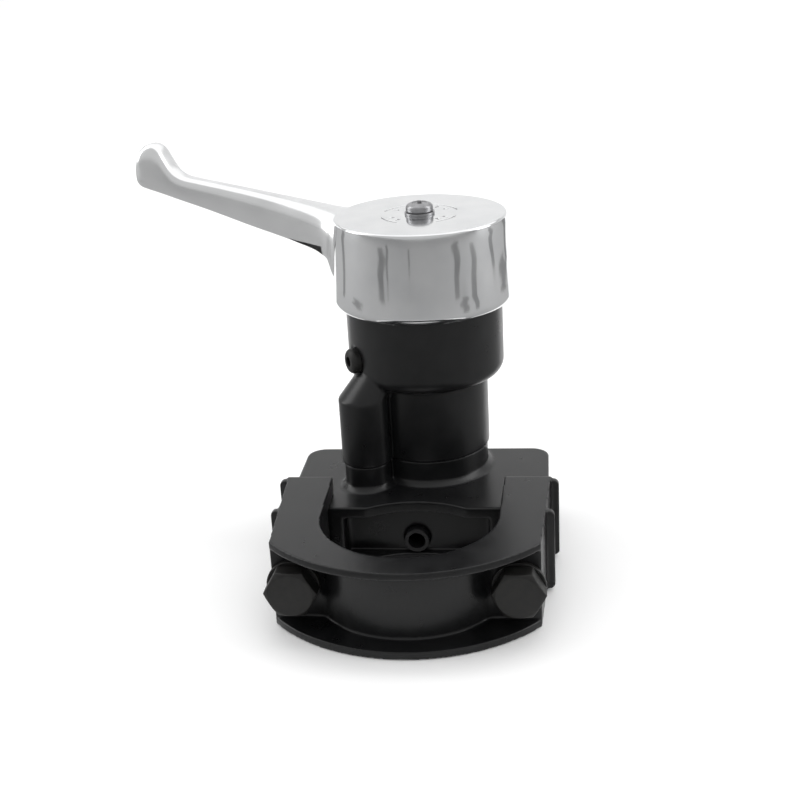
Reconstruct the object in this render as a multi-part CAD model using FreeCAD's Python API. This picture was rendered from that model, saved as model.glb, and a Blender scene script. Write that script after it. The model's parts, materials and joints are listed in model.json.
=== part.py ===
import FreeCAD, Part
import math
import os

V = FreeCAD.Vector
UP = V(0, 0, 1)
AWAY = V(0, 1, 0)
RIGHT = V(1, 0, 0)
ORIGIN = V(0, 0, 0)

# Saddle tap on a pipe clamp. All sizes in millimetres.
# The pipe stands along Z. Origin: axis of the strap's bore, at the strap's underside.
# +X is to the right and +Y is away from the strap, towards the rear body.

# ---- fits -------------------------------------------------------------------
running_gap = 0.05        # radial, shaft in its hole
slide_gap = 0.3           # between pieces that slide past each other
loose_gap = 0.4           # radial, bolt in its clearance hole
seal_gap = 0.1            # round a seal in its groove
over = 1.0                # cutters reach this far past the faces that they cut
far = 150.0               # larger than the clamp

# ---- pipe and strap ---------------------------------------------------------
pipe_r = 25.0             # the strap is bored for a 50 mm pipe
strap_height = 25.5
strap_plate = 2.2         # upper and lower flange plates
arm_past_bore = 0.3       # the arms end this far behind the bore's rear
bore_flare = 0.7          # the arms open this much on each side towards the rear
bolt_offset = 5.8         # from the bore's wall to the bolt's axis
lug_wall = 8.5            # from the bolt's axis to the strap's side, at the rear
strap_taper = 2.5         # the sides come in this much from the rear to the bolt seats
nose_wall = 9.25          # plates in front of the bore
nose_flatness = 13.05     # the plates' front arc is this much larger in radius than its reach
seat_setback = 8.5        # the bolt seats stand this far behind the bore's front
web_wall = 3.0            # wall round the bore between the plates
web_blend = 3.5           # the seat flows into the web with this radius
seat_wall = 4.0
side_wall = 2.5
lip_depth = 5.0           # rim under the upper plate, round the bore
lip_wall = 2.0
rib_out = 2.4
rib_width = 2.2
rib_setback = 20.2        # from the rear rib to the front rib
rib_lift = 0.6            # the ribs start this far above the underside
rib_ease = 0.9            # bevel at a rib's foot
rib_drop = 0.5            # the ribs end this far below the top
rib_crown_r = 1.6

# ---- bolts ------------------------------------------------------------------
bolt_r = 4.0              # M8
bolt_head_height = 5.3
bolt_head_chamfer = 0.8
bolt_tip = 1.0
bolt_past_insert = 1.3
bolt_washer_margin = 3.4
bolt_washer_wall = 1.6
insert_wall = 2.0         # threaded insert in each lug
insert_length = 14.0
insert_setback = 1.0      # behind the rear body's shoulder
bolt_hole_spare = 3.0     # the hole goes on behind the bolt's tip

# ---- rear body --------------------------------------------------------------
lip_gap = 0.2             # under the strap's rim
wing_reach = 11.1         # the wings reach this far into the strap
rear_back = 11.0          # from the tower's axis to the back face
rear_inset = 0.9          # the rear body is this much narrower than the strap, a side
rear_corner_r = 5.5
saddle_margin = 2.0       # the saddle's arc is this much larger than the pipe
saddle_depth = 4.3
ledge_wall = 3.4          # saddle ledges above and below the port
pocket_depth = 2.2        # wall between the ledges, behind the saddle's arc
pocket_inset = 3.5        # the pocket is this much narrower than the bore, a side
pocket_corner_r = 1.5

# ---- valve ------------------------------------------------------------------
cross_r = 2.5
outlet_bore_r = 4.5
outlet_thread_r = 5.72    # G1/4, tapping size
outlet_thread_length = 12.0
chamber_r = 14.5
chamber_floor_wall = 5.4
spigot_wall = 2.5
spigot_height = 5.4
spigot_lip = 0.6
ledge_depth = 1.5         # ledge in the chamber that carries the seat disc
ledge_height = 1.6
seat_disc_wall = 4.0
valve_port_wall = 0.5     # from the spigot to the seat disc's inlet hole
valve_disc_wall = 5.0
valve_disc_gap = 1.1
channel_depth = 2.4       # channel under the valve disc that joins inlet and outlet
tang_long = 6.0           # half length of the drive tang
tang_wide = 2.0
tang_depth = 2.0
tang_gap = 0.1
spindle_r = 5.0
spindle_flange_r = 9.0
spindle_flange_wall = 3.0
spring_margin = 0.4       # springs and thrust washer stand this far past the flange
spring_bore_gap = 0.6
disc_spring_height = 1.9
disc_spring_wall = 0.8
thrust_wall = 0.6
thrust_bore_gap = 0.3
bonnet_depth = 7.8
bonnet_flange_margin = 4.5
bonnet_flange_wall = 2.0
bonnet_seal_lift = 3.0
spindle_seal_lifts = (2.2, 5.2)
drive_flats = 7.0
drive_drop = 2.0          # the drive square ends this far under the hub's top
clip_wall = 1.0
clip_margin = 1.6
clip_groove_depth = 0.8
clip_slot = 1.2           # half width of the gap in the ring
stop_pin_r = 1.5
stop_pin_wall = 1.0       # from the drive hub to the stop pin
stop_pin_sunk = 4.0
stop_pin_angle = 40.0     # bearing of the stop pin, from +X
o_ring_r = 0.6            # section radius of the seals

# ---- tower ------------------------------------------------------------------
tower_x = 2.0
pipe_clear = 1.4          # the hub stands this far behind the saddle
pedestal_height = 7.9     # from the rear body's top to the joint with the housing
pedestal_inset = 0.6
pedestal_foot = 1.6
collar_wall = 8.9         # from the valve chamber to the outside of the collar
collar_round = 4.2
neck_inset = 5.1          # the neck is this much smaller in radius than the collar
neck_height = 22.8
boss_bearing = 220.5      # from the tower's axis, measured from +X
boss_r = 7.5
boss_height = 20.3
boss_web_front = 0.3      # share of the boss's radius in front of its axis
shoulder_height = 8.5
shoulder_inset = 7.0
shoulder_share = 0.8      # the shoulder's top circle against the boss

# ---- passages ---------------------------------------------------------------
port_x = -0.6
port_bore_r = 2.5
tube_r = 3.7
tube_clear = 0.4          # above the lower ledge
tube_out = 2.4            # in front of the pocket's wall
tube_length = 12.0
tube_seal_in = 2.5        # behind the pocket's wall
tube_seal_out = 0.3
passage_overlap = 0.5
riser_wall = 2.8          # between the valve chamber and the riser
riser_r = 2.2             # a little smaller than the cross drilling that it meets
riser_bearing = 212.0
plug_head_r = 3.8
plug_head_out = 3.0
plug_head_round = 1.6
plug_sunk = 0.6
plug_recess_gap = 0.5
plug_shank_length = 1.4
plug_socket_r = 1.5
plug_socket_depth = 1.6
plug_start = 4.0          # the cross drilling starts this far outside the collar

# ---- lever ------------------------------------------------------------------
hub_gap = 0.9             # between the collar and the hub's skirt
hub_wall = 2.5
hub_taper = 1.2
hub_skirt = 12.6          # the skirt hangs this far below the collar's top
hub_height = 26.4
hub_bottom_round = 3.4
hub_top_round = 0.7
hub_roof = 5.8
drive_hub_r = 9.0
lever_bearing = 163.0     # direction of the lever at rest, from +X
lever_turn = 90.0
lever_reach = 96.0
lever_rise = 18.6         # the tip's height above the hub's top
screw_r = 2.0             # M4
screw_clearance = 0.3
screw_head_r = 4.0
screw_head_height = 2.9
screw_head_crown = 0.75   # share of the head's height that is rounded
screw_length = 16.0
screw_past_hole = 2.0
cross_half_long = 2.1
cross_half_wide = 0.55
cross_depth = 1.6
lever_washer_r = 4.4
lever_washer_wall = 0.7

# ---- housing screws ---------------------------------------------------------
housing_screw_r = 2.0     # M4
housing_screw_head_r = 3.5
housing_screw_head_height = 4.0
housing_screw_socket_r = 1.6
housing_screw_socket_wall = 1.8
housing_screw_grip = 18.2
housing_screw_length = 32.0
housing_screw_inset = 6.1  # from the neck's outside
housing_screw_bearings = (30.0, 150.0, 285.0)

# ---- places worked out from those sizes -------------------------------------
strap_rear_y = pipe_r + arm_past_bore
bolt_x = pipe_r + bolt_offset
bolt_z = strap_height / 2
strap_half_rear = bolt_x + lug_wall
strap_half_front = strap_half_rear - strap_taper
nose_front = pipe_r + nose_wall
nose_r = nose_front + nose_flatness
seat_y = seat_setback - pipe_r

rear_height = strap_height - lip_depth - lip_gap
rear_shoulder_y = strap_rear_y + slide_gap
rear_front_y = rear_shoulder_y - wing_reach
rear_half = strap_half_rear - rear_inset
saddle_r = pipe_r + saddle_margin
saddle_mid_y = rear_front_y + saddle_depth
pocket_wall_y = saddle_mid_y + pocket_depth
pocket_half = pipe_r - pocket_inset

head_y = seat_y - bolt_washer_wall
bolt_washer_r = bolt_r + bolt_washer_margin
bolt_head_flats = 2 * bolt_r + 5.0
insert_r = bolt_r + insert_wall
insert_front_y = rear_shoulder_y + insert_setback
insert_back_y = insert_front_y + insert_length
bolt_end_y = insert_back_y + bolt_past_insert

collar_r = chamber_r + collar_wall
neck_r = collar_r - neck_inset
hub_cavity_r = collar_r + hub_gap
hub_bottom_r = hub_cavity_r + hub_wall
hub_top_r = hub_bottom_r - hub_taper
tower = V(tower_x, saddle_mid_y + pipe_clear + hub_bottom_r, 0)
rear_back_y = tower.y + rear_back

joint_z = rear_height + pedestal_height
boss_top_z = joint_z + boss_height
collar_z = joint_z + neck_height
chamber_floor_z = collar_z + chamber_floor_wall
seat_z = chamber_floor_z + spigot_height
valve_z = seat_z + seat_disc_wall
flange_z = valve_z + valve_disc_wall
spring_z = flange_z + spindle_flange_wall
thrust_z = spring_z + 2 * disc_spring_height
bonnet_seat_z = thrust_z + thrust_wall
collar_top_z = bonnet_seat_z + bonnet_depth
bonnet_top_z = collar_top_z + bonnet_flange_wall
clip_z = bonnet_top_z + slide_gap
drive_z = clip_z + clip_wall + slide_gap
hub_bottom_z = collar_top_z - hub_skirt
hub_top_z = hub_bottom_z + hub_height
roof_z = hub_top_z - hub_roof
washer_top_z = hub_top_z + lever_washer_wall

spigot_r = outlet_bore_r + spigot_wall
valve_port_reach = spigot_r + valve_port_wall + cross_r
valve_disc_r = chamber_r - valve_disc_gap
spring_r = spindle_flange_r + spring_margin
stop_reach = drive_hub_r + stop_pin_wall + stop_pin_r
port_z = ledge_wall + tube_clear + tube_r
tube_front_y = pocket_wall_y - tube_out
tube_back_y = tube_front_y + tube_length
riser_reach = chamber_r + riser_wall + riser_r
cross_z = chamber_floor_z + seal_gap + cross_r
housing_screw_seat_z = joint_z - housing_screw_grip
housing_screw_reach = neck_r - housing_screw_inset


def disc(r, z0, z1, at=ORIGIN):
    """Upright cylinder between two heights."""
    return Part.makeCylinder(r, z1 - z0, V(at.x, at.y, z0), UP)


def ring(r_out, r_in, z0, z1, at=ORIGIN):
    """Upright tube between two heights."""
    return disc(r_out, z0, z1, at).cut(disc(r_in, z0 - over, z1 + over, at))


def rod(r, x, z, y0, y1):
    """Cylinder along Y."""
    return Part.makeCylinder(r, y1 - y0, V(x, y0, z), AWAY)


def block(x0, x1, y0, y1, z0, z1):
    return Part.makeBox(x1 - x0, y1 - y0, z1 - z0, V(x0, y0, z0))


def half_block(half_long, half_wide, height):
    """Block centred on the origin, standing on its plane."""
    return block(-half_long, half_long, -half_wide, half_wide, 0, height)


def around(bearing, reach, z=0.0):
    """Point at a bearing and a reach from the tower's axis."""
    a = math.radians(bearing)
    return V(tower.x + reach * math.cos(a), tower.y + reach * math.sin(a), z)


def rounded_wire(corners):
    """Closed wire through (x, y, radius) corners, each rounded with its radius."""
    count = len(corners)
    starts = []
    ends = []
    middles = []
    for i in range(count):
        x, y, r = corners[i]
        here = V(x, y, 0)
        if r <= 0:
            starts.append(here)
            ends.append(here)
            middles.append(None)
            continue
        before = V(corners[i - 1][0], corners[i - 1][1], 0)
        after = V(corners[(i + 1) % count][0], corners[(i + 1) % count][1], 0)
        a = (before - here).normalize()
        b = (after - here).normalize()
        half = a.getAngle(b) / 2
        middle = (a + b).normalize()
        starts.append(here + a * (r / math.tan(half)))
        ends.append(here + b * (r / math.tan(half)))
        middles.append(here + middle * (r / math.sin(half) - r))
    edges = []
    for i in range(count):
        if middles[i] is not None:
            edges.append(Part.Arc(starts[i], middles[i], ends[i]).toShape())
        following = starts[(i + 1) % count]
        if ends[i].distanceToPoint(following) > 1e-6:
            edges.append(Part.LineSegment(ends[i], following).toShape())
    return Part.Wire(edges)


def plate(corners, z0, z1):
    """Flat plate with a rounded outline."""
    face = Part.Face(rounded_wire(corners))
    face.translate(V(0, 0, z0))
    return face.extrude(V(0, 0, z1 - z0))


def mirrored(corners):
    """Right half outline, listed front to back, completed with its left half."""
    return corners + [(-x, y, r) for x, y, r in reversed(corners)]


def hexagon(flats, y0, y1, x, z, chamfer):
    """Hexagonal bar along Y, its front end eased like a bolt head."""
    corner_r = flats / 2 / math.cos(math.radians(30))
    points = []
    for i in range(7):
        a = math.radians(60 * i + 30)
        points.append(V(x + corner_r * math.sin(a), y0, z + corner_r * math.cos(a)))
    bar = Part.Face(Part.makePolygon(points)).extrude(V(0, y1 - y0, 0))
    ease = chamfer / math.tan(math.radians(30))
    front = Part.makeCone(corner_r - ease, corner_r, chamfer, V(x, y0, z), AWAY)
    return bar.common(front.fuse(rod(corner_r, x, z, y0 + chamfer, y1)))


def o_ring(major, z, at):
    return Part.makeTorus(major, o_ring_r, V(at.x, at.y, z), UP)


# ---- front strap ------------------------------------------------------------

def strap_half_at(y):
    """Half width of the strap's plates at a depth."""
    share = (y - seat_y) / (strap_rear_y - seat_y)
    return strap_half_front + share * strap_taper


def strap_prism(inset, y_front, z0, z1):
    """The strap's outline between two heights, its sides moved in by an inset."""
    front_y = -nose_front - over
    right = [(strap_half_at(front_y) - inset, front_y, 0),
             (strap_half_rear - inset, strap_rear_y, 0)]
    body = plate(mirrored(right), z0, z1)
    body = body.common(disc(nose_r, z0, z1, V(0, nose_r - nose_front, 0)))
    return body.common(block(-far, far, y_front, far, z0, z1))


def bore_prism(extra, z0, z1):
    """The U-shaped opening for the pipe, grown by a wall."""
    right = [(pipe_r + extra, 0, 0), (pipe_r + bore_flare + extra, strap_rear_y + over, 0)]
    return plate(mirrored(right), z0, z1).fuse(disc(pipe_r + extra, z0, z1))


def web_fillet(side, z0, z1):
    """Fills the hollow corner between a bolt seat and the web."""
    web_r = pipe_r + web_wall
    blend_y = seat_y - web_blend
    blend_x = side * math.sqrt((web_r + web_blend) ** 2 - blend_y ** 2)
    share = web_r / (web_r + web_blend)
    web_x = side * math.sqrt(web_r ** 2 - seat_y ** 2)
    corner = [V(blend_x, blend_y, z0), V(blend_x * share, blend_y * share, z0),
              V(web_x, seat_y, z0), V(blend_x, seat_y, z0), V(blend_x, blend_y, z0)]
    fill = Part.Face(Part.makePolygon(corner)).extrude(V(0, 0, z1 - z0))
    return fill.cut(disc(web_blend, z0, z1, V(blend_x, blend_y, 0)))


def side_rib(side, rib_y):
    """Upright rib on the strap's side, its front face at a depth."""
    inner = strap_half_at(rib_y) - side_wall / 2
    outer = strap_half_at(rib_y) + rib_out
    top = strap_height - rib_drop
    corners = [(inner, rib_lift, 0), (outer - rib_ease, rib_lift, 0), (outer, rib_lift + rib_ease, 0),
               (outer, top, rib_crown_r), (inner, top, 0)]
    rib = plate(corners, 0, rib_width)
    rib.rotate(ORIGIN, RIGHT, 90)
    rib.translate(V(0, rib_y + rib_width, 0))
    return rib if side > 0 else rib.mirror(ORIGIN, RIGHT)


def front_strap():
    low = strap_plate
    high = strap_height - strap_plate
    web = disc(pipe_r + web_wall, low, high)
    shape = strap_prism(0, -far, 0, strap_height)
    # open channel between the plates, in front of the web and the bolt seats
    recess = block(-far, far, -far, seat_y, low, high).cut(web)
    for side in (-1, 1):
        recess = recess.cut(web_fillet(side, low, high))
    shape = shape.cut(recess)
    # hollow arms that take the rear body's wings
    web_end_y = rear_front_y - web_wall
    kept_web = web.common(block(-far, far, -far, web_end_y, low, high))
    shape = shape.cut(strap_prism(side_wall, seat_y + seat_wall, low, high).cut(kept_web))
    rim = bore_prism(lip_wall, strap_height - lip_depth, high)
    shape = shape.fuse(rim.common(strap_prism(0, -far, low, high)))
    shape = shape.cut(bore_prism(0, -over, strap_height + over))
    rear_rib_y = strap_rear_y - rib_width
    for rib_y in (rear_rib_y, rear_rib_y - rib_setback):
        for side in (-1, 1):
            shape = shape.fuse(side_rib(side, rib_y))
    # bolt holes and the washers' spot faces
    for side in (-1, 1):
        x = side * bolt_x
        shape = shape.cut(rod(bolt_r + loose_gap, x, bolt_z, seat_y - over, strap_rear_y + over))
        shape = shape.cut(rod(bolt_washer_r + slide_gap, x, bolt_z, -nose_front, seat_y))
    return shape.removeSplitter()


# ---- bolts, washers and inserts ---------------------------------------------

def clamp_bolt(side):
    x = side * bolt_x
    shank_r = bolt_r - running_gap
    tip_y = bolt_end_y - bolt_tip
    head = hexagon(bolt_head_flats, head_y - bolt_head_height, head_y, x, bolt_z, bolt_head_chamfer)
    shank = rod(shank_r, x, bolt_z, head_y, tip_y)
    tip = Part.makeCone(shank_r, shank_r - bolt_tip, bolt_tip, V(x, tip_y, bolt_z), AWAY)
    return head.fuse(shank).fuse(tip).removeSplitter()


def sleeve_pair(r_out, r_in, y0, y1):
    """One sleeve round each bolt."""
    solids = []
    for side in (-1, 1):
        x = side * bolt_x
        sleeve = rod(r_out, x, bolt_z, y0, y1)
        solids.append(sleeve.cut(rod(r_in, x, bolt_z, y0 - over, y1 + over)))
    return Part.makeCompound(solids)


def bolt_washers():
    return sleeve_pair(bolt_washer_r, bolt_r + loose_gap, head_y, seat_y)


def thread_inserts():
    return sleeve_pair(insert_r, bolt_r, insert_front_y, insert_back_y)


# ---- rear body --------------------------------------------------------------

def boss_axis():
    return around(boss_bearing, collar_r)


def riser_axis():
    return around(riser_bearing, riser_reach)


def housing_screw_places():
    return [around(bearing, housing_screw_reach) for bearing in housing_screw_bearings]


def tower_plan(inset, z0, z1):
    """Neck and boss outlines together, between two heights."""
    boss = boss_axis()
    # the web between them is flush on the left and leaves a groove in front
    link = plate([(boss.x - boss_r + inset, boss.y, 0),
                  (boss.x, boss.y - boss_web_front * boss_r, 0),
                  (tower.x, tower.y, 0),
                  (tower.x - neck_r + inset, tower.y, 0)], z0, z1)
    return disc(neck_r - inset, z0, z1, tower).fuse(disc(boss_r - inset, z0, z1, boss)).fuse(link)


def sloped_foot(r, at):
    """Cone where a round wall stands on the rear body."""
    return Part.makeCone(r + pedestal_foot, r, pedestal_foot, V(at.x, at.y, rear_height), UP)


def inlet_seal():
    middle = V(port_x, pocket_wall_y + tube_seal_in, port_z)
    return Part.makeTorus(tube_r + tube_seal_out, o_ring_r, middle, AWAY)


def rear_body():
    top = rear_height + over
    main = plate([(-rear_half, rear_shoulder_y, 0), (rear_half, rear_shoulder_y, 0),
                  (rear_half, rear_back_y, rear_corner_r), (-rear_half, rear_back_y, rear_corner_r)],
                 0, rear_height)
    main = main.fuse(disc(neck_r - pedestal_inset, 0, rear_height, tower))
    wing_half = strap_half_at(rear_front_y) - side_wall - slide_gap
    wing_back_y = rear_shoulder_y + over
    wings = block(-wing_half, wing_half, rear_front_y, wing_back_y, strap_plate + slide_gap, rear_height)
    inner_half = pipe_r - slide_gap
    middle = block(-inner_half, inner_half, rear_front_y, wing_back_y, 0, rear_height)
    shape = main.fuse(wings).fuse(middle)
    shape = shape.fuse(tower_plan(pedestal_inset, rear_height - over, joint_z))
    feet = sloped_foot(neck_r - pedestal_inset, tower).fuse(sloped_foot(boss_r - pedestal_inset, boss_axis()))
    shape = shape.fuse(feet.common(block(-rear_half, rear_half, 0, rear_back_y, 0, joint_z)))
    # the saddle: an arc across the front, and a pocket between its two ledges
    shape = shape.cut(disc(saddle_r, -over, top, V(0, saddle_mid_y - saddle_r, 0)))
    shape = shape.cut(plate([(-pocket_half, 0, 0), (pocket_half, 0, 0),
                             (pocket_half, pocket_wall_y, pocket_corner_r),
                             (-pocket_half, pocket_wall_y, pocket_corner_r)],
                            ledge_wall, rear_height - ledge_wall))
    # bolt holes and insert seats
    hole_end_y = bolt_end_y + bolt_hole_spare
    for side in (-1, 1):
        x = side * bolt_x
        shape = shape.cut(rod(bolt_r + loose_gap, x, bolt_z, rear_front_y - over, hole_end_y))
        shape = shape.cut(rod(insert_r, x, bolt_z, insert_front_y, insert_back_y))
    # passages: tube seat, cored way to the riser, riser, outlet
    shape = shape.cut(rod(tube_r, port_x, port_z, pocket_wall_y - over, tube_back_y))
    riser = riser_axis()
    start = V(port_x, tube_back_y - passage_overlap, port_z)
    way = V(riser.x, riser.y, port_z) - start
    shape = shape.cut(Part.makeCylinder(port_bore_r, way.Length, start, way))
    shape = shape.cut(disc(riser_r, port_z, joint_z + over, riser))
    shape = shape.cut(disc(outlet_bore_r, -over, joint_z + over, tower))
    shape = shape.cut(disc(outlet_thread_r, -over, outlet_thread_length, tower))
    shape = shape.cut(inlet_seal())
    # seats for the two joint seals
    for at, r in ((tower, outlet_bore_r), (riser, riser_r)):
        shape = shape.cut(disc(r + 2 * (o_ring_r + seal_gap), joint_z - 2 * o_ring_r, joint_z + over, at))
    # screws that hold the tower housing, from below
    for place in housing_screw_places():
        shape = shape.cut(disc(housing_screw_r + screw_clearance, -over, joint_z + over, place))
        shape = shape.cut(disc(housing_screw_head_r + loose_gap, -over, housing_screw_seat_z, place))
    return shape.removeSplitter()


def inlet_tube():
    tube = rod(tube_r, port_x, port_z, tube_front_y, tube_back_y)
    tube = tube.cut(rod(port_bore_r, port_x, port_z, tube_front_y - over, tube_back_y + over))
    return tube.cut(inlet_seal())


# ---- tower housing ----------------------------------------------------------

def collar():
    """Collar with a rounded lower edge."""
    outer = disc(collar_r, collar_z, collar_top_z, tower)
    low_edge = [e for e in outer.Edges if abs(e.BoundBox.ZMax - collar_z) < 1e-6]
    return outer.makeFillet(collar_round, low_edge)


def boss_shoulder():
    """Slope from the boss up to the collar."""
    boss = boss_axis()
    base = Part.Wire(Part.makeCircle(boss_r, V(boss.x, boss.y, boss_top_z), UP))
    top = around(boss_bearing, collar_r - shoulder_inset, boss_top_z + shoulder_height)
    crown = Part.Wire(Part.makeCircle(boss_r * shoulder_share, top, UP))
    return Part.makeLoft([base, crown], True, True)


def tower_housing():
    core = disc(neck_r, joint_z, collar_z + collar_round, tower)
    shape = tower_plan(0, joint_z, boss_top_z).fuse(core).fuse(collar()).fuse(boss_shoulder())
    # valve chamber with its central spigot and the ledge for the seat disc
    chamber = disc(chamber_r, chamber_floor_z, collar_top_z + over, tower)
    chamber = chamber.cut(disc(spigot_r, chamber_floor_z - over, seat_z, tower))
    ledge = ring(chamber_r + over, chamber_r - ledge_depth, seat_z - ledge_height, seat_z, tower)
    shape = shape.cut(chamber.cut(ledge))
    shape = shape.cut(disc(outlet_bore_r, joint_z - over, seat_z + over, tower))
    shape = shape.cut(disc(spigot_r - spigot_lip, seat_z - 2 * o_ring_r, seat_z + over, tower))
    # riser, and the cross drilling that joins it to the chamber
    riser = riser_axis()
    shape = shape.cut(disc(riser_r, joint_z - over, cross_z, riser))
    inward = (V(tower.x, tower.y, 0) - V(riser.x, riser.y, 0)).normalize()
    plug_at = around(riser_bearing, collar_r + plug_start, cross_z)
    drilled = plug_start + collar_r - spigot_r - over
    shape = shape.cut(Part.makeCylinder(cross_r, drilled, plug_at, inward))
    recess_r = plug_head_r + plug_recess_gap
    shape = shape.cut(Part.makeCylinder(recess_r, plug_start + plug_sunk, plug_at, inward))
    for place in housing_screw_places():
        end = housing_screw_seat_z + housing_screw_length + over
        shape = shape.cut(disc(housing_screw_r, joint_z - over, end, place))
    return shape.removeSplitter()


def cross_plug():
    """Screw plug that closes the cross drilling on the outside of the collar."""
    seat = around(riser_bearing, collar_r - plug_sunk, cross_z)
    out = (seat - around(riser_bearing, 0, cross_z)).normalize()
    head = Part.makeCylinder(plug_head_r, plug_head_out, seat, out)
    rims = [e for e in head.Edges if e.CenterOfMass.distanceToPoint(seat + out * plug_head_out) < 1e-6]
    head = head.makeFillet(plug_head_round, rims)
    shank = Part.makeCylinder(cross_r, plug_shank_length, seat, out * -1)
    socket_floor = seat + out * (plug_head_out - plug_socket_depth)
    return head.fuse(shank).cut(Part.makeCylinder(plug_socket_r, plug_socket_depth, socket_floor, out))


def housing_screws():
    solids = []
    for place in housing_screw_places():
        seat = housing_screw_seat_z
        low = seat - housing_screw_head_height
        head = disc(housing_screw_head_r, low, seat, place)
        socket = disc(housing_screw_socket_r, low, seat - housing_screw_socket_wall, place)
        shank = disc(housing_screw_r, seat, seat + housing_screw_length, place)
        solids.append(head.cut(socket).fuse(shank))
    return Part.makeCompound(solids)


# ---- valve ------------------------------------------------------------------

def turned(shape, bearing, z):
    """Shape made on the origin, turned to a bearing on the tower's axis."""
    shape.rotate(ORIGIN, UP, bearing)
    shape.translate(V(tower.x, tower.y, z))
    return shape


def seal_groove(r_out, r_in, z):
    """Square groove round the tower's axis for a seal at a height."""
    half = o_ring_r + seal_gap
    return ring(r_out, r_in, z - half, z + half, tower)


def valve_seat():
    shape = disc(chamber_r, seat_z, valve_z, tower)
    shape = shape.cut(disc(outlet_bore_r, seat_z - over, valve_z + over, tower))
    return shape.cut(disc(cross_r, seat_z - over, valve_z + over, around(riser_bearing, valve_port_reach)))


def valve_disc():
    channel = block(0, valve_port_reach + cross_r, -cross_r, cross_r, 0, channel_depth)
    slot = half_block(tang_long + tang_gap, tang_wide + tang_gap, tang_depth + over)
    shape = disc(valve_disc_r, valve_z, flange_z, tower)
    shape = shape.cut(turned(channel, riser_bearing + lever_turn, valve_z))
    return shape.cut(turned(slot, lever_bearing, flange_z - tang_depth - tang_gap))


def spindle():
    shaft = disc(spindle_r - running_gap, flange_z, drive_z, tower)
    flange = disc(spindle_flange_r, flange_z, spring_z, tower)
    tang = turned(half_block(tang_long, tang_wide, tang_depth), lever_bearing, flange_z - tang_depth)
    half = drive_flats / 2
    drive = turned(half_block(half, half, hub_top_z - drive_drop - drive_z), lever_bearing, drive_z)
    shape = shaft.fuse(flange).fuse(tang).fuse(drive)
    groove_r = spindle_r - running_gap - 2 * o_ring_r
    for lift in spindle_seal_lifts:
        shape = shape.cut(seal_groove(spindle_r + over, groove_r, bonnet_seat_z + lift))
    groove = ring(spindle_r + over, spindle_r - clip_groove_depth, clip_z, clip_z + clip_wall, tower)
    return shape.cut(groove).cut(disc(screw_r, hub_top_z - screw_length, hub_top_z, tower))


def spindle_o_rings():
    major = spindle_r - running_gap - o_ring_r
    return Part.makeCompound([o_ring(major, bonnet_seat_z + lift, tower) for lift in spindle_seal_lifts])


def disc_springs():
    solids = []
    inner = spindle_r + spring_bore_gap
    rise = disc_spring_height - disc_spring_wall
    for z, low, high in ((spring_z, 0.0, rise), (spring_z + disc_spring_height, rise, 0.0)):
        points = [(spring_r, low), (spring_r, low + disc_spring_wall),
                  (inner, high + disc_spring_wall), (inner, high), (spring_r, low)]
        wire = Part.makePolygon([V(tower.x + r, tower.y, z + h) for r, h in points])
        solids.append(Part.Face(wire).revolve(tower, UP, 360))
    return Part.makeCompound(solids)


def thrust_washer():
    return ring(spring_r, spindle_r + thrust_bore_gap, thrust_z, bonnet_seat_z, tower)


def bonnet_o_ring():
    return o_ring(chamber_r - o_ring_r, bonnet_seat_z + bonnet_seal_lift, tower)


def bonnet():
    flange_r = chamber_r + bonnet_flange_margin
    shape = disc(chamber_r, bonnet_seat_z, collar_top_z, tower)
    shape = shape.fuse(disc(flange_r, collar_top_z, bonnet_top_z, tower))
    shape = shape.cut(disc(spindle_r, bonnet_seat_z - over, bonnet_top_z + over, tower))
    groove_r = chamber_r - 2 * o_ring_r
    shape = shape.cut(seal_groove(chamber_r + over, groove_r, bonnet_seat_z + bonnet_seal_lift))
    pin = around(stop_pin_angle, stop_reach)
    return shape.cut(disc(stop_pin_r, collar_top_z - stop_pin_sunk, bonnet_top_z + over, pin))


def stop_pin():
    at = around(stop_pin_angle, stop_reach)
    return disc(stop_pin_r, collar_top_z - stop_pin_sunk, roof_z - slide_gap, at)


def retaining_ring():
    top = clip_z + clip_wall
    clip = ring(spindle_r + clip_margin, spindle_r - clip_groove_depth, clip_z, top, tower)
    gap = block(0, collar_r, -clip_slot, clip_slot, 0, clip_wall + 2 * over)
    return clip.cut(turned(gap, 0, clip_z - over))


# ---- lever ------------------------------------------------------------------

def lever_arm():
    """Tapering arm, rising outwards and turned up at its tip; its reach lies along +X."""
    top = hub_top_z
    root = hub_bottom_r - 14.8
    tip = lever_reach
    crest = top + lever_rise
    foot_z = hub_bottom_z + 4.0
    side = [(root, top - 1.2, 0), (hub_top_r + 1.4, top - 0.1, 40), (tip - 16.6, crest - 10.3, 6),
            (tip - 10.4, crest, 2.6), (tip - 3.2, crest - 1.0, 4.0), (tip - 0.6, top + 3.8, 2.6),
            (45, top - 9.4, 60), (hub_bottom_r + 2.4, top - 13.6, 9), (hub_bottom_r - 1.4, foot_z, 0),
            (root, foot_z, 0)]
    profile = plate(side, -hub_bottom_r, hub_bottom_r)
    profile.rotate(ORIGIN, RIGHT, 90)
    plan = [(root, 11.2, 0), (hub_bottom_r - 0.8, 9.0, 25), (42, 5.2, 45), (62, 3.8, 60),
            (tip - 14, 3.5, 60), (tip + 0.5, 4.2, 3.4)]
    outline = plan + [(x, -y, r) for x, y, r in reversed(plan)]
    return profile.common(plate(outline, hub_bottom_z, crest + over))


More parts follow.
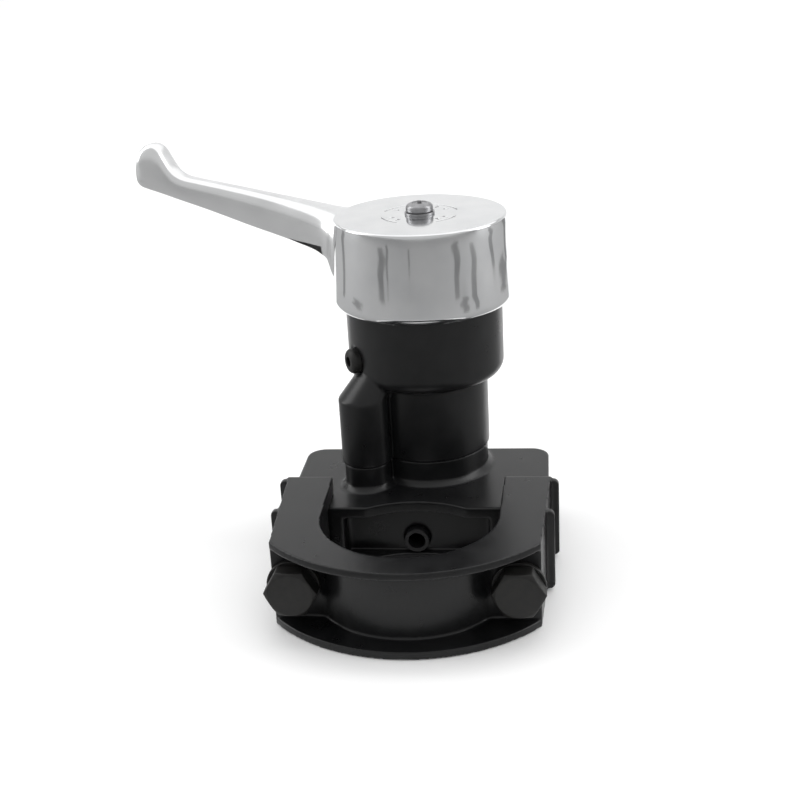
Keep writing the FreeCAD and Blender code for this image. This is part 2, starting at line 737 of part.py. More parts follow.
def stop_track():
    """Ring under the hub's roof, with the gap that the stop pin runs in."""
    margin = stop_pin_r + slide_gap
    spread = math.degrees(margin / stop_reach)
    pad = ring(stop_reach + margin, stop_reach - margin, drive_z, roof_z + passage_overlap)
    gap = Part.makeCylinder(hub_bottom_r, hub_height, V(0, 0, hub_bottom_z), UP, lever_turn + 2 * spread)
    gap.rotate(ORIGIN, UP, stop_pin_angle - lever_bearing - spread)
    return pad.cut(gap)


def lever():
    hub_profile = [(0, hub_bottom_z, 0), (hub_bottom_r, hub_bottom_z, hub_bottom_round),
                   (hub_top_r, hub_top_z, hub_top_round), (0, hub_top_z, 0)]
    face = Part.Face(rounded_wire(hub_profile))
    face.rotate(ORIGIN, RIGHT, 90)
    shape = face.revolve(ORIGIN, UP, 360).fuse(lever_arm())
    shape = shape.cut(disc(hub_cavity_r, hub_bottom_z - over, roof_z))
    shape = shape.fuse(disc(drive_hub_r, drive_z, roof_z + passage_overlap))
    half = drive_flats / 2 + running_gap
    shape = shape.cut(block(-half, half, -half, half, drive_z - over, hub_top_z - drive_drop + tang_gap))
    shape = shape.cut(disc(screw_r + screw_clearance, drive_z, hub_top_z + over))
    return turned(shape.fuse(stop_track()), lever_bearing, 0).removeSplitter()


def lever_washer():
    return ring(lever_washer_r, screw_r + screw_clearance, hub_top_z, washer_top_z, tower)


def lever_screw():
    head = disc(screw_head_r, washer_top_z, washer_top_z + screw_head_height, tower)
    rounded = screw_head_height * screw_head_crown
    crown = [e for e in head.Edges if e.BoundBox.ZMin > washer_top_z + rounded]
    head = head.makeFillet(rounded, crown)
    arm = half_block(cross_half_long, cross_half_wide, screw_head_height)
    cross = arm.fuse(half_block(cross_half_wide, cross_half_long, screw_head_height))
    shank = disc(screw_r, hub_top_z - screw_length + screw_past_hole, washer_top_z, tower)
    cross = turned(cross, 0, washer_top_z + screw_head_height - cross_depth)
    return head.cut(cross).fuse(shank)


nodes = {
    "rear_body": rear_body(),
    "tower_housing": tower_housing(),
    "front_strap": front_strap(),
    "clamp_bolt_left": clamp_bolt(-1),
    "clamp_bolt_right": clamp_bolt(1),
    "bolt_washers": bolt_washers(),
    "thread_inserts": thread_inserts(),
    "inlet_tube": inlet_tube(),
    "inlet_o_ring": inlet_seal(),
    "cross_plug": cross_plug(),
    "outlet_o_ring": o_ring(outlet_bore_r + o_ring_r + seal_gap, joint_z - o_ring_r, tower),
    "riser_o_ring": o_ring(riser_r + o_ring_r + seal_gap, joint_z - o_ring_r, riser_axis()),
    "housing_screws": housing_screws(),
    "valve_seat": valve_seat(),
    "seat_o_ring": o_ring(spigot_r - spigot_lip - o_ring_r - seal_gap, seat_z - o_ring_r, tower),
    "valve_disc": valve_disc(),
    "spindle": spindle(),
    "spindle_o_rings": spindle_o_rings(),
    "disc_springs": disc_springs(),
    "thrust_washer": thrust_washer(),
    "bonnet": bonnet(),
    "bonnet_o_ring": bonnet_o_ring(),
    "retaining_ring": retaining_ring(),
    "stop_pin": stop_pin(),
    "lever": lever(),
    "lever_washer": lever_washer(),
    "lever_screw": lever_screw(),
}

os.makedirs("parts", exist_ok=True)
for name, shape in nodes.items():
    shape.exportStep("parts/" + name + ".step")
    print(name, "solids", len(shape.Solids), "valid", shape.isValid(), "volume", round(shape.Volume, 1))
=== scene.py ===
import json
import math

import bmesh
import bpy
from mathutils import Matrix, Vector


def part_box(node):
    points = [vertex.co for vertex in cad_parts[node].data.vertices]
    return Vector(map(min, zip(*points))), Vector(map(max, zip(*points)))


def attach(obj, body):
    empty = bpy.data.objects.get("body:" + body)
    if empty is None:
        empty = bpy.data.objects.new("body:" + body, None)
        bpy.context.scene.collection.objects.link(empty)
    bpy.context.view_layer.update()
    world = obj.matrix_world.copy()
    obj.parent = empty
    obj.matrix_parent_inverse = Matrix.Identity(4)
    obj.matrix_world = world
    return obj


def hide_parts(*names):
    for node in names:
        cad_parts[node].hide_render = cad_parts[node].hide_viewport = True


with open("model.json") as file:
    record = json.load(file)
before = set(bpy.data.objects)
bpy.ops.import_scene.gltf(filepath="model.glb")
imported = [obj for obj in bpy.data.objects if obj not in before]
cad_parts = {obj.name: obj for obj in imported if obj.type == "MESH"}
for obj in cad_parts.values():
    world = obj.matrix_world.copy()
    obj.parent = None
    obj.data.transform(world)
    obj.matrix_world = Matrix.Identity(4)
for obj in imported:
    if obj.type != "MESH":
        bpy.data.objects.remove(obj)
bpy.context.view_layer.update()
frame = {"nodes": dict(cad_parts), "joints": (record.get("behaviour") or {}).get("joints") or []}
print("stage: frame loaded,", len(frame["nodes"]), "nodes")

mm = 0.001  # lengths are in millimetres, apart from those of the studio and the camera

# the axis that the lever turns about, and the heights of the hub, its washer and its screw
leverJoint = next(j for j in frame["joints"] if j["name"] == "lever_turn")
towerAxis = Vector((leverJoint["pos_m"][0], leverJoint["pos_m"][1], 0))
leverLow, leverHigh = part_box("lever")
washerLow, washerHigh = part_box("lever_washer")
hubRadius = (leverHigh.x - towerAxis.x) / mm
hubBottom = leverLow.z / mm
hubTop = washerLow.z / mm
headBottom = washerHigh.z / mm
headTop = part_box("lever_screw")[1].z / mm

meshing = {
    "mergeGap": 1e-7,    # metres, for the pieces made here
    "weldGap": 1e-6,     # metres, for copies of CAD nodes
    "smoothing": 0.5,    # how far each pass pulls a point towards its neighbours
}


def smoothStep(low, high, value):
    share = min(max((value - low) / (high - low), 0), 1)
    return share * share * (3 - 2 * share)


# slope of the curve through the stations, level at the last one
def slopeAt(stations, k):
    if k == len(stations) - 1:
        return 0
    before = max(k - 1, 0)
    return (stations[k + 1][1] - stations[before][1]) / (stations[k + 1][0] - stations[before][0])


# value between listed stations, joined by a smooth curve
def along(stations, reach):
    last = len(stations) - 1
    if reach <= stations[0][0]:
        return stations[0][1]
    if reach >= stations[last][0]:
        return stations[last][1]
    i = next(k for k in range(last) if reach <= stations[k + 1][0])
    x0, y0 = stations[i]
    x1, y1 = stations[i + 1]
    wide = x1 - x0
    s = (reach - x0) / wide   # share of the way between the two stations
    return ((2 * s ** 3 - 3 * s ** 2 + 1) * y0 + (s ** 3 - 2 * s ** 2 + s) * wide * slopeAt(stations, i)
            + (3 * s ** 2 - 2 * s ** 3) * y1 + (s ** 3 - s ** 2) * wide * slopeAt(stations, i + 1))


def meshObject(name, points, faces):
    mesh = bpy.data.meshes.new(name)
    mesh.from_pydata([tuple(p) for p in points], [], faces)
    work = bmesh.new()
    work.from_mesh(mesh)
    bmesh.ops.remove_doubles(work, verts=work.verts, dist=meshing["mergeGap"])
    bmesh.ops.recalc_face_normals(work, faces=work.faces)
    work.to_mesh(mesh)
    work.free()
    piece = bpy.data.objects.new(name, mesh)
    bpy.context.scene.collection.objects.link(piece)
    mesh.shade_smooth()
    return piece


# applies the modifiers of a piece
def settle(piece):
    bpy.context.view_layer.update()
    seen = piece.evaluated_get(bpy.context.evaluated_depsgraph_get())
    mesh = bpy.data.meshes.new_from_object(seen)
    piece.modifiers.clear()
    piece.data = mesh
    mesh.name = piece.name
    mesh.shade_smooth()
    return piece


# faces between rings that all have the same number of points
def skinRings(rings, closedEnds=True):
    count = len(rings[0])
    points = [p for ring in rings for p in ring]
    faces = []
    for i in range(len(rings) - 1):
        for k in range(count):
            n = (k + 1) % count
            faces.append((i * count + k, i * count + n, (i + 1) * count + n, (i + 1) * count + k))
    if closedEnds:
        faces.append(tuple(reversed(range(count))))
        faces.append(tuple((len(rings) - 1) * count + k for k in range(count)))
    return points, faces


# faces along a strip whose points come in pairs
def stripFaces(pairs):
    return [(2 * i, 2 * i + 1, 2 * i + 3, 2 * i + 2) for i in range(pairs - 1)]


# cast or moulded copy of a CAD node, with its edges and inner corners rounded
def softened(name, made):
    source = frame["nodes"][made["node"]]
    piece = bpy.data.objects.new(name, source.data.copy())
    piece.data.materials.clear()
    bpy.context.scene.collection.objects.link(piece)
    weld = piece.modifiers.new("weld", "WELD")
    weld.merge_threshold = meshing["weldGap"]
    remesh = piece.modifiers.new("grain", "REMESH")
    remesh.mode = "VOXEL"
    remesh.voxel_size = made["grain"] * mm
    remesh.use_smooth_shade = True
    smooth = piece.modifiers.new("round", "SMOOTH")
    smooth.factor = meshing["smoothing"]
    smooth.iterations = made["passes"]
    settle(piece)
    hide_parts(made["node"])
    return piece


# gives a piece its finish and the body that it rides on
def fitOut(piece, body, material):
    piece.data.materials.clear()
    piece.data.materials.append(material)
    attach(piece, body)


texture = {
    "band": (0.3, 0.7),      # the noise seldom leaves this range
    "patchDetail": 4,
    "grainDetail": 3, "grainRough": 0.6,
}


def noise(nodes, links, coords, scale, detail, rough=0.5):
    node = nodes.new("ShaderNodeTexNoise")
    node.inputs["Scale"].default_value = scale
    node.inputs["Detail"].default_value = detail
    node.inputs["Roughness"].default_value = rough
    links.new(coords, node.inputs["Vector"])
    return node.outputs["Fac"]


def spread(nodes, links, source, low, high):
    node = nodes.new("ShaderNodeMapRange")
    node.inputs["From Min"].default_value = texture["band"][0]
    node.inputs["From Max"].default_value = texture["band"][1]
    node.inputs["To Min"].default_value = low
    node.inputs["To Max"].default_value = high
    links.new(source, node.inputs["Value"])
    return node.outputs["Result"]


def twoTone(nodes, links, source, dark, light):
    ramp = nodes.new("ShaderNodeValToRGB")
    for element, position, tone in zip(ramp.color_ramp.elements, texture["band"], (dark, light)):
        element.position = position
        element.color = (*tone, 1)
    links.new(source, ramp.inputs["Fac"])
    return ramp.outputs["Color"]


# finish with two tones and a roughness range in patches, and a fine grain in relief
def finish(name, look):
    material = bpy.data.materials.new(name)
    material.use_nodes = True
    nodes, links = material.node_tree.nodes, material.node_tree.links
    shader = nodes["Principled BSDF"]
    coords = nodes.new("ShaderNodeTexCoord").outputs["Object"]
    patches = noise(nodes, links, coords, look["patchScale"], texture["patchDetail"])
    grain = noise(nodes, links, coords, look["grainScale"], texture["grainDetail"], texture["grainRough"])
    links.new(twoTone(nodes, links, patches, look["dark"], look["light"]), shader.inputs["Base Color"])
    low, high = look["roughness"]
    links.new(spread(nodes, links, patches, low, high), shader.inputs["Roughness"])
    bump = nodes.new("ShaderNodeBump")
    bump.inputs["Strength"].default_value = look["relief"]
    bump.inputs["Distance"].default_value = look["reliefDepth"] * mm
    links.new(grain, bump.inputs["Height"])
    links.new(bump.outputs["Normal"], shader.inputs["Normal"])
    shader.inputs["Metallic"].default_value = look["metallic"]
    shader.inputs["Specular IOR Level"].default_value = look.get("specular", 0.5)
    return material


castingLook = {
    "dark": (0.0052, 0.0053, 0.0057), "light": (0.0084, 0.0086, 0.0091),
    "roughness": (0.27, 0.33), "patchScale": 160, "grainScale": 2600,
    "relief": 0.12, "reliefDepth": 0.03, "metallic": 0.0, "specular": 0.34,
}
oxideLook = {
    "dark": (0.0060, 0.0058, 0.0054), "light": (0.0130, 0.0125, 0.0115),
    "roughness": (0.40, 0.55), "patchScale": 420, "grainScale": 3400,
    "relief": 0.35, "reliefDepth": 0.03, "metallic": 0.0, "specular": 0.34,
}
chromeLook = {
    "dark": (0.70, 0.71, 0.72), "light": (0.79, 0.795, 0.80),
    "roughness": (0.045, 0.10), "patchScale": 90, "grainScale": 1500,
    "relief": 0.05, "reliefDepth": 0.012, "metallic": 1.0,
}
# the arm is buffed less than the hub
armLook = {
    "dark": (0.76, 0.765, 0.77), "light": (0.82, 0.825, 0.83),
    "roughness": (0.20, 0.27), "patchScale": 90, "grainScale": 1500,
    "relief": 0.05, "reliefDepth": 0.012, "metallic": 1.0,
}
# painted shade for the bottoms of the engraved grooves on the hub's top
markShadeLook = {
    "dark": (0.13, 0.13, 0.135), "light": (0.24, 0.24, 0.245),
    "roughness": (0.35, 0.5), "patchScale": 300, "grainScale": 3000,
    "relief": 0.3, "reliefDepth": 0.02, "metallic": 0.9,
}
recessLook = {
    "dark": (0.012, 0.012, 0.013), "light": (0.03, 0.03, 0.031),
    "roughness": (0.5, 0.7), "patchScale": 300, "grainScale": 2500,
    "relief": 0.3, "reliefDepth": 0.03, "metallic": 0.4,
}
screwLook = {
    "dark": (0.24, 0.24, 0.245), "light": (0.36, 0.36, 0.37),
    "roughness": (0.26, 0.40), "patchScale": 500, "grainScale": 3600,
    "relief": 0.3, "reliefDepth": 0.02, "metallic": 1.0,
}
tubeLook = {
    "dark": (0.006, 0.006, 0.0065), "light": (0.014, 0.014, 0.015),
    "roughness": (0.34, 0.48), "patchScale": 500, "grainScale": 3000,
    "relief": 0.2, "reliefDepth": 0.02, "metallic": 0.0, "specular": 0.4,
}
brassLook = {
    "dark": (0.58, 0.40, 0.16), "light": (0.74, 0.54, 0.25),
    "roughness": (0.22, 0.36), "patchScale": 260, "grainScale": 2600,
    "relief": 0.2, "reliefDepth": 0.02, "metallic": 1.0,
}
rubberLook = {
    "dark": (0.010, 0.010, 0.010), "light": (0.020, 0.020, 0.020),
    "roughness": (0.6, 0.75), "patchScale": 400, "grainScale": 3000,
    "relief": 0.3, "reliefDepth": 0.02, "metallic": 0.0,
}
ceramicLook = {
    "dark": (0.74, 0.73, 0.69), "light": (0.84, 0.83, 0.79),
    "roughness": (0.18, 0.3), "patchScale": 300, "grainScale": 2600,
    "relief": 0.1, "reliefDepth": 0.01, "metallic": 0.0,
}

castingFinish = finish("satinBlackCasting", castingLook)
oxideFinish = finish("blackOxideSteel", oxideLook)
chromeFinish = finish("polishedChrome", chromeLook)
armFinish = finish("satinChrome", armLook)
markShadeFinish = finish("engravedChromePaintedShade", markShadeLook)
recessFinish = finish("recessShadow", recessLook)
screwFinish = finish("zincScrew", screwLook)
tubeFinish = finish("darkTube", tubeLook)
brassFinish = finish("turnedBrass", brassLook)
rubberFinish = finish("sealRubber", rubberLook)
ceramicFinish = finish("groundCeramic", ceramicLook)
print("stage: finishes made")


# grain is the size of the new faces, and each pass rounds the edges a little more
castingPieces = {
    "strapCasting": {"node": "front_strap", "body": "strap", "grain": 0.34, "passes": 5},
    "rearCasting": {"node": "rear_body", "body": "body", "grain": 0.38, "passes": 5},
    "towerCasting": {"node": "tower_housing", "body": "body", "grain": 0.38, "passes": 7},
}
for pieceName, made in castingPieces.items():
    casting = softened(pieceName, made)
    fitOut(casting, made["body"], castingFinish)
    print("stage:", pieceName, len(casting.data.polygons), "faces")

steelPieces = {
    "boltLeft": {"node": "clamp_bolt_left", "body": "bolt_left", "grain": 0.22, "passes": 3},
    "boltRight": {"node": "clamp_bolt_right", "body": "bolt_right", "grain": 0.22, "passes": 3},
    "boltWashers": {"node": "bolt_washers", "body": "strap", "grain": 0.16, "passes": 3},
    "sidePlug": {"node": "cross_plug", "body": "body", "grain": 0.14, "passes": 3},
}
for pieceName, made in steelPieces.items():
    fitOut(softened(pieceName, made), made["body"], oxideFinish)

inletTube = {"node": "inlet_tube", "body": "body", "grain": 0.14, "passes": 3}
fitOut(softened("inletTube", inletTube), inletTube["body"], tubeFinish)
print("stage: bolts, washers, plug and tube made")


hub = {
    "turns": 288,            # divisions round the hub
    "bottomRound": 2.6, "bottomSteps": 14,
    "topRound": 0.7, "topSteps": 8,
    "taper": 1.2,            # the top is this much smaller in radius
    "sideHeights": (0.3, 0.5, 0.7, 0.85),   # shares of the hub's height
    "skirtWall": 2.5, "skirtEdge": (0.4, 0.5),   # chamfer inside the skirt, across and up
    "roof": 5.8,
    "driveRadius": 9.0, "driveDepth": 1.4,   # the boss under the roof
    "flatSteps": 190,        # divisions across the top, fine enough for the engraving
    "markRing": 11.4,        # radius of the engraved ring
    "markWidth": 0.34,
    "markDepth": 0.14,
    "markArcs": [(20, 160), (200, 240), (300, 340)],   # bearings that the ring covers
    "tickRadii": (8.0, 10.2),
    "tickBearings": [35, 60, 85, 95, 120, 145, 210, 230, 310, 330],
    "tickHalfWidth": 0.32,
    "darkFrom": 0.45,        # share of the depth below which the engraving gets painted shade
    "darkTo": 0.5, "darkRadius": 14,   # and nothing deeper or further out gets it
    "screwHole": 2.3,
}


def arcPoints(middleX, middleZ, radius, start, end, count):
    points = []
    for i in range(count + 1):
        a = math.radians(start + (end - start) * i / count)
        points.append((middleX + radius * math.cos(a), middleZ + radius * math.sin(a)))
    return points


# how deep the engraving is at a place on the hub's top, from 0 to 1
def markDepthAt(radius, bearing):
    deep = 0
    if any(a <= bearing <= b for a, b in hub["markArcs"]):
        deep = 1 - smoothStep(hub["markWidth"] * 0.5, hub["markWidth"], abs(radius - hub["markRing"]))
    inner, outer = hub["tickRadii"]
    if inner <= radius <= outer:
        for tick in hub["tickBearings"]:
            away = abs((bearing - tick + 180) % 360 - 180)
            side = radius * math.radians(away)
            deep = max(deep, 1 - smoothStep(hub["tickHalfWidth"] * 0.5, hub["tickHalfWidth"], side))
    return deep


# half section of the hub, from the drive boss out over the skirt and back in to the screw hole
def hubProfile():
    topRadius = hubRadius - hub["taper"]
    lean = math.degrees(math.atan2(hub["taper"], hubTop - hubBottom))
    cavity = hubRadius - hub["skirtWall"]
    roofZ = hubTop - hub["roof"]
    bossZ = roofZ - hub["driveDepth"]
    edgeWide, edgeTall = hub["skirtEdge"]
    r, t = hub["bottomRound"], hub["topRound"]
    profile = [(hub["driveRadius"], bossZ), (hub["driveRadius"], roofZ), (cavity, roofZ)]
    profile += [(cavity, hubBottom + edgeTall), (cavity + edgeWide, hubBottom)]
    profile += arcPoints(hubRadius - r, hubBottom + r, r, -90, lean, hub["bottomSteps"])
    profile += [(hubRadius - hub["taper"] * share, hubBottom + (hubTop - hubBottom) * share)
                for share in hub["sideHeights"]]
    profile += arcPoints(topRadius - t, hubTop - t, t, lean, 90, hub["topSteps"])
    steps = hub["flatSteps"]
    flat = [(topRadius - t) + (hub["screwHole"] - (topRadius - t)) * i / steps for i in range(1, steps + 1)]
    profile += [(radius, hubTop) for radius in flat]
    profile.append((hub["screwHole"], bossZ))
    return profile


def makeHub():
    rings = []
    for radius, z in hubProfile():
        ring = []
        for k in range(hub["turns"]):
            bearing = 360 * k / hub["turns"]
            a = math.radians(bearing)
            low = markDepthAt(radius, bearing) * hub["markDepth"] if z == hubTop else 0
            x = towerAxis.x + radius * mm * math.cos(a)
            y = towerAxis.y + radius * mm * math.sin(a)
            ring.append((x, y, (z - low) * mm))
        rings.append(ring)
    rings.append(rings[0])
    points, faces = skinRings(rings, closedEnds=False)
    return meshObject("leverHub", points, faces)


# the engraving's grooves take their own darker finish, painted shade
def paintShadeInMarks(piece):
    piece.data.materials.append(markShadeFinish)
    for polygon in piece.data.polygons:
        middle = polygon.center
        below = hubTop - hub["darkTo"]
        above = hubTop - hub["markDepth"] * hub["darkFrom"]
        if below * mm < middle.z < above * mm:
            if (Vector((middle.x, middle.y, 0)) - towerAxis).length < hub["darkRadius"] * mm:
                polygon.material_index = 1


hubPiece = makeHub()
fitOut(hubPiece, "lever", chromeFinish)
paintShadeInMarks(hubPiece)
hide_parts("lever")
print("stage: hub made,", len(hubPiece.data.polygons), "faces")


arm = {
    "bearing": 163.0,
    # reach from the hub's axis, then the value there
    "top": [(18, 99.4), (24, 99.6), (27, 99.8), (35, 101.3), (45, 103.0), (55, 104.6), (65, 106.1),
            (74, 107.4), (79, 108.4), (82, 110.3), (84.2, 113.6), (86, 116.7), (88, 118.0), (90.2, 118.0),
            (92.2, 117.0), (93.8, 114.8), (94.8, 111.4), (95.3, 107.6)],
    "low": [(18, 78.0), (25.6, 79.5), (27, 83.6), (30, 86.4), (35, 88.3), (45, 91.0), (55, 93.6), (65, 96.5),
            (72, 98.5), (80, 100.7), (88, 102.8), (92.2, 103.9), (93.9, 104.5), (94.9, 105.6), (95.3, 107.4)],
    "half": [(18, 13.4), (24, 11.0), (26.5, 9.2), (29, 8.0), (35, 6.5), (45, 4.95), (55, 4.15), (65, 3.72),
             (72, 3.55), (80, 3.7), (88, 4.0), (92.2, 3.95), (94.1, 3.5), (95.0, 2.9), (95.3, 2.3)],
    "squareness": 3.6,       # 2 is an ellipse, and more is squarer
    "around": 64,
    "slices": 150,
    # tapered recess low on both sides: reach, lower edge, upper edge
    "recess": [(47.8, 92.3, 92.5), (38.7, 89.4, 91.0), (29.1, 87.1, 90.3)],
    "recessDepth": 1.2, "fullDepthFrom": 1.5,   # shallower where it is narrower than this
    "recessDraft": 0.05,
}


def squareRing(reach, top, low, half, power):
    middle = (top + low) / 2
    tall = (top - low) / 2
    ring = []
    for k in range(arm["around"]):
        a = 2 * math.pi * k / arm["around"]
        c, s = math.cos(a), math.sin(a)
        across = half * math.copysign(abs(c) ** (2 / power), c)
        up = tall * math.copysign(abs(s) ** (2 / power), s)
        ring.append(Vector((reach, across, middle + up)) * mm)
    return ring


# tapered wedge that stands in one side of the arm
def recessRings(side):
    rings = []
    draft = arm["recessDraft"]
    for reach, low, high in arm["recess"]:
        skin = along(arm["half"], reach)
        outside = side * (skin + 1)
        inside = side * (skin - arm["recessDepth"] * min(1, (high - low) / arm["fullDepthFrom"]))
        corners = [(outside, low), (outside, high), (inside, high - draft), (inside, low + draft)]
        rings.append([Vector((reach, across, up)) * mm for across, up in corners])
    return rings


def cutRecess(piece, side):
    cutter = meshObject("recessCutter", *skinRings(recessRings(side)))
    cutter.data.materials.append(recessFinish)
    cut = piece.modifiers.new("recess", "BOOLEAN")
    cut.operation = "DIFFERENCE"
    cut.solver = "EXACT"
    cut.material_mode = "TRANSFER"
    cut.object = cutter
    settle(piece)
    bpy.data.objects.remove(cutter)


def makeArm():
    start, end = arm["top"][0][0], arm["top"][-1][0]
    rings = []
    for i in range(arm["slices"] + 1):
        share = i / arm["slices"]
        reach = start + (end - start) * math.sin(share * math.pi / 2)
        rings.append(squareRing(reach, along(arm["top"], reach), along(arm["low"], reach),
                                along(arm["half"], reach), arm["squareness"]))
    points, faces = skinRings(rings)
    piece = meshObject("leverArm", points, faces)
    piece.data.materials.append(armFinish)
    for side in (-1, 1):
        cutRecess(piece, side)
    turned = Matrix.Rotation(math.radians(arm["bearing"]), 4, "Z")
    piece.data.transform(Matrix.Translation(towerAxis) @ turned)
    return piece


armPiece = makeArm()
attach(armPiece, "lever")
print("stage: arm made,", [m.name for m in armPiece.data.materials])


screw = {
    "headRadius": 4.0, "edgeHeight": 1.3,
    "footIn": 0.25, "footUp": 0.2, "wallShare": 0.6,   # rounded foot, and the wall's share of the edge
    "bulge": 0.8, "tip": 0.02,   # less bulge is a flatter dome, and the tip closes it
    "crossLong": 2.1, "longEdge": (0.25, 0.1),   # the cross fades from this far inside to this far outside
    "crossWide": 0.55, "wideEdge": (0.18, 0.08),
    "crossDepth": 1.3, "crossTurn": 12,
    "turns": 180, "steps": 60,
}


# half section of the head, from under its middle out and up over the dome
def headProfile():
    radius, edge, tip = screw["headRadius"], screw["edgeHeight"], screw["tip"]
    profile = [(tip, headBottom), (radius - screw["footIn"], headBottom)]
    profile += [(radius, headBottom + screw["footUp"]), (radius, headBottom + edge * screw["wallShare"])]
    for i in range(screw["steps"] + 1):
        a = i / screw["steps"] * math.pi / 2
        wide = radius * math.cos(a) ** screw["bulge"] if i < screw["steps"] else tip
        profile.append((wide, headBottom + edge + (headTop - headBottom - edge) * math.sin(a)))
    return profile


# how deep the cross recess is at a place on the head, from 0 to 1
def crossDepthAt(x, y):
    turn = math.radians(screw["crossTurn"])
    u = abs(x * math.cos(turn) + y * math.sin(turn))
    v = abs(y * math.cos(turn) - x * math.sin(turn))
    deep = 0
    for lengthwise, crosswise in ((u, v), (v, u)):
        inside = 1
        for limit, edges, value in ((screw["crossLong"], screw["longEdge"], lengthwise),
                                    (screw["crossWide"], screw["wideEdge"], crosswise)):
            inside *= 1 - smoothStep(limit - edges[0], limit + edges[1], value)
        deep = max(deep, inside)
    return deep


def makeScrewHead():
    rings = []
    for radius, z in headProfile():
        ring = []
        for k in range(screw["turns"]):
            a = 2 * math.pi * k / screw["turns"]
            x, y = radius * math.cos(a), radius * math.sin(a)
            deep = crossDepthAt(x, y) * screw["crossDepth"] if z > headBottom + screw["edgeHeight"] else 0
            ring.append((towerAxis.x + x * mm, towerAxis.y + y * mm, (z - deep) * mm))
        rings.append(ring)
    points, faces = skinRings(rings)
    return meshObject("leverScrewHead", points, faces)


headPiece = makeScrewHead()
fitOut(headPiece, "lever", screwFinish)
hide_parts("lever_screw")

leverWasher = {"node": "lever_washer", "body": "lever", "grain": 0.07, "passes": 2}
fitOut(softened("leverWasher", leverWasher), leverWasher["body"], screwFinish)
print("stage: lever screw and washer made")


# nodes that keep their CAD shape
keptNodes = {
    "thread_inserts": brassFinish, "inlet_o_ring": rubberFinish, "outlet_o_ring": rubberFinish,
    "riser_o_ring": rubberFinish, "housing_screws": oxideFinish, "valve_seat": ceramicFinish,
    "seat_o_ring": rubberFinish, "valve_disc": ceramicFinish, "spindle": brassFinish,
    "spindle_o_rings": rubberFinish, "disc_springs": screwFinish, "thrust_washer": screwFinish,
    "bonnet": brassFinish, "bonnet_o_ring": rubberFinish, "retaining_ring": screwFinish,
    "stop_pin": screwFinish,
}
for nodeName, nodeFinish in keptNodes.items():
    node = frame["nodes"][nodeName]
    node.data.materials.clear()
    node.data.materials.append(nodeFinish)
print("stage: inner pieces finished")


# lengths here are in metres
studio = {
    "floorTone": 0.90, "floorDrop": 0.0002,
    "worldStrength": 0.66,
    "sweepStart": 0.9, "sweepRadius": 0.6, "sweepSteps": 18, "sweepHeight": 0.80, "halfWidth": 3.0,
    "cardInner": 0.065, "cardOuter": 1.3, "cardSteps": 60, "cardRise": 0.0005,
    "cardOpen": 34,          # degrees open each side of the rear
    "cardTone": 0.34,
    "streakTone": 0.16, "streakSteps": 8, "streakRise": 0.001,
    "streakSway": 0.25, "streakWave": 1.3,   # share of the width, and radians for each step
    "streakTaper": 0.55,     # share of the width that the ends lose
    "streaks": [
        # bearing from the hub, degrees wide, from and to
        (157, 7, 0.32, 0.70), (-174, 15, 0.31, 0.355), (-136, 9, 0.40, 0.60), (-128, 3, 0.44, 0.74),
        (-100, 2, 0.48, 0.62), (-41, 9, 0.42, 0.74), (-33, 10, 0.31, 0.42), (-17, 8, 0.31, 0.55),
        (16, 8, 0.39, 0.74), (39, 18, 0.31, 0.39), (54, 10, 0.35, 0.66),
    ],
    "lights": [
        # name, place, aims at, width, height, power, seen in the gloss
        ("overheadLight", (0.05, 0.25, 0.80), (0, 0.03, 0.05), 1.9, 1.3, 5.0, True),
        ("leftLight", (-0.8, 0.1, 0.45), (0, 0.03, 0.05), 0.4, 0.8, 2.6, True),
        ("rightLight", (0.8, 0.1, 0.40), (0, 0.03, 0.05), 0.4, 0.8, 2.6, True),
        ("sweepLight", (0, 0.5, 1.6), (0, 1.4, 0.4), 1.8, 0.5, 8.2, False),
    ],
}


def plainFinish(name, tone):
    return finish(name, {"dark": (tone, tone, tone), "light": (tone + 0.02, tone + 0.02, tone + 0.02),
                         "roughness": (0.75, 0.85), "patchScale": 3, "grainScale": 60,
                         "relief": 0.02, "reliefDepth": 0.05, "metallic": 0.0, "specular": 0.2})


# card that is seen in the gloss of the object and nowhere else
def makeCard(name, points, material):
    card = meshObject(name, points, stripFaces(len(points) // 2))
    card.data.materials.append(material)
    card.visible_camera = False
    card.visible_diffuse = False
    card.visible_shadow = False
    card.visible_transmission = False


# pale floor that curves up behind the object
def makeSweep():
    wide, start, curve = studio["halfWidth"], studio["sweepStart"], studio["sweepRadius"]
    profile = [(-wide, -studio["floorDrop"]), (start, -studio["floorDrop"])]
    for i in range(1, studio["sweepSteps"] + 1):
        a = math.radians(90 * i / studio["sweepSteps"])
        profile.append((start + curve * math.sin(a), curve * (1 - math.cos(a))))
    profile.append((start + curve, studio["sweepHeight"]))
    points = [(x, y, z) for y, z in profile for x in (-wide, wide)]
    sweep = meshObject("studioSweep", points, stripFaces(len(profile)))
    sweep.data.materials.append(plainFinish("paleSweep", studio["floorTone"]))


# ring of grey on the floor, open at the rear
def makeFloorCard():
    steps, opening = studio["cardSteps"], studio["cardOpen"]
    points = []
    for i in range(steps + 1):
        a = math.radians(90 + opening + (360 - 2 * opening) * i / steps)
        for reach in (studio["cardInner"], studio["cardOuter"]):
            points.append((reach * math.cos(a), reach * math.sin(a), studio["cardRise"]))
    makeCard("floorCard", points, plainFinish("greyCard", studio["cardTone"]))


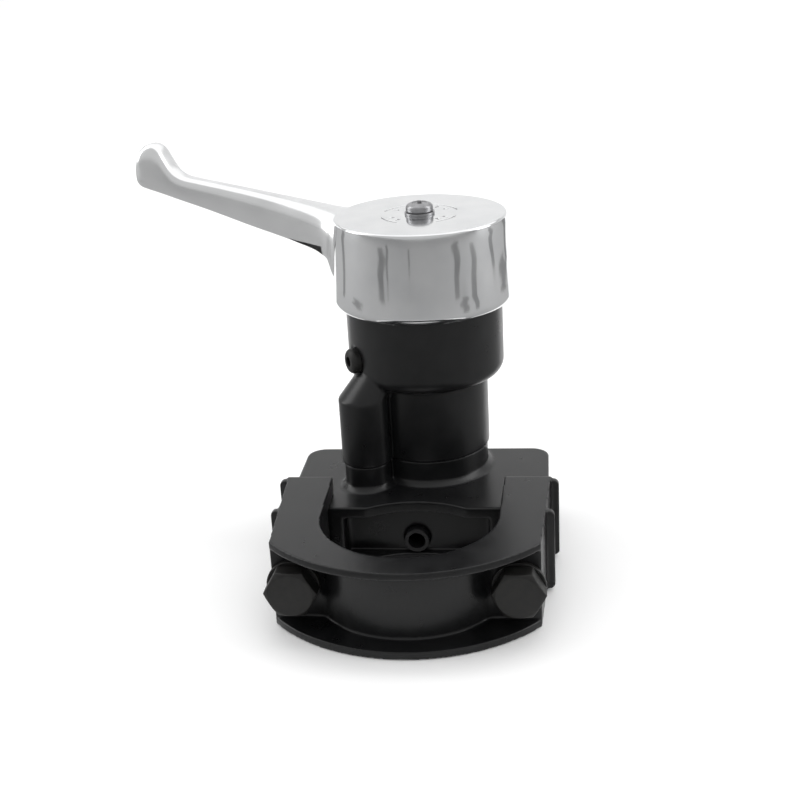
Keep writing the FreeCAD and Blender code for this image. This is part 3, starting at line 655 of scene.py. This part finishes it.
# dark strips on the floor, wavy and tapered, that streak the chrome
def makeStreaks():
    dark = plainFinish("darkCard", studio["streakTone"])
    steps = studio["streakSteps"]
    for i, (bearing, wide, start, end) in enumerate(studio["streaks"]):
        points = []
        for j in range(steps + 1):
            reach = start + (end - start) * j / steps
            middle = bearing + studio["streakSway"] * wide * math.sin(studio["streakWave"] * j + i)
            full = math.sin(math.pi * (j + 1) / (steps + 2))
            half = wide / 2 * (1 - studio["streakTaper"] + studio["streakTaper"] * full)
            for side in (-half, half):
                a = math.radians(middle + side)
                x = towerAxis.x + reach * math.cos(a)
                y = towerAxis.y + reach * math.sin(a)
                points.append((x, y, studio["streakRise"]))
        makeCard("streak%d" % i, points, dark)


def makeLights():
    world = bpy.data.worlds.new("studioWorld")
    world.use_nodes = True
    backing = world.node_tree.nodes["Background"]
    backing.inputs["Color"].default_value = (1, 1, 1, 1)
    backing.inputs["Strength"].default_value = studio["worldStrength"]
    bpy.context.scene.world = world
    for name, spot, aim, wide, high, power, inGloss in studio["lights"]:
        data = bpy.data.lights.new(name, "AREA")
        data.shape = "RECTANGLE"
        data.size = wide
        data.size_y = high
        data.energy = power
        light = bpy.data.objects.new(name, data)
        bpy.context.scene.collection.objects.link(light)
        light.visible_glossy = inGloss
        way = Vector(aim) - Vector(spot)
        turned = way.to_track_quat("-Z", "Y").to_matrix().to_4x4()
        light.matrix_world = Matrix.Translation(Vector(spot)) @ turned


makeSweep()
makeFloorCard()
makeStreaks()
makeLights()


camera = {
    "place": (0.04259, -0.33228, 0.19170),   # metres
    "lens": 59.96, "sensor": 36,             # millimetres
    "bearing": 7.4355, "down": 21.4586, "roll": -3.2846,   # degrees
}


def makeCamera():
    data = bpy.data.cameras.new("studioCamera")
    data.sensor_width = camera["sensor"]
    data.lens = camera["lens"]
    view = bpy.data.objects.new("studioCamera", data)
    bpy.context.scene.collection.objects.link(view)
    aimed = Matrix.Rotation(math.radians(camera["bearing"]), 4, "Z")
    tilted = Matrix.Rotation(math.radians(90 - camera["down"]), 4, "X")
    rolled = Matrix.Rotation(math.radians(camera["roll"]), 4, "Z")
    view.matrix_world = Matrix.Translation(camera["place"]) @ aimed @ tilted @ rolled
    bpy.context.scene.camera = view


makeCamera()
bpy.context.scene.view_settings.view_transform = "Standard"
print("stage: studio made")
